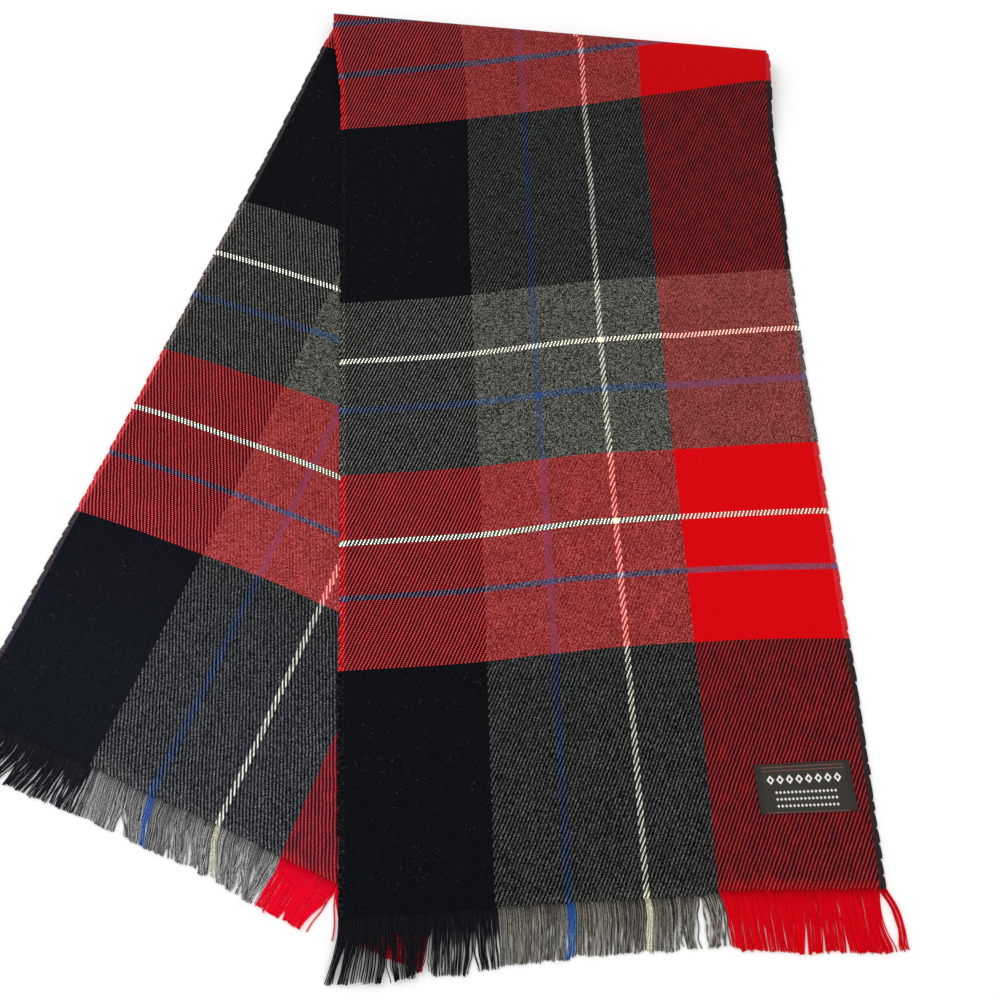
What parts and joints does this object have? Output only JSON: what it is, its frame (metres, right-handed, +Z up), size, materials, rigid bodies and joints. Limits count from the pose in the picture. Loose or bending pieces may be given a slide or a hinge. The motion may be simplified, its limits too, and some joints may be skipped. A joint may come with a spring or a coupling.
{
  "type": "folded plaid scarf",
  "caption": "Long woven plaid scarf in black, grey and red with fine blue and cream lines, short yarn fringe on both ends, folded over and laid flat so that its ends fan apart.",
  "frame": {"origin": "on the surface that the scarf lies on, under the middle of its whole box", "axes": "+Z up from that surface, +Y from the fringed ends towards the fold, +X to the right as seen from the fringed ends"},
  "size_m": [0.5502, 0.6608, 0.014],
  "materials": {
    "plaid_cloth": "twill woven block plaid, soft matt nap",
    "black_yarn": "loose matt black yarn",
    "grey_yarn": "loose matt heather grey yarn",
    "red_yarn": "loose matt bright red yarn",
    "label_satin": "dark woven satin"
  },
  "bodies": {
    "root": {"lower_stretch": "plaid_cloth", "fold_bend": "plaid_cloth", "upper_stretch": "plaid_cloth", "lower_fringe_black": "black_yarn", "upper_fringe_black": "black_yarn", "lower_fringe_grey": "grey_yarn", "upper_fringe_grey": "grey_yarn", "lower_fringe_red": "red_yarn", "upper_fringe_red": "red_yarn", "label": "label_satin"}
  },
  "joints": []
}
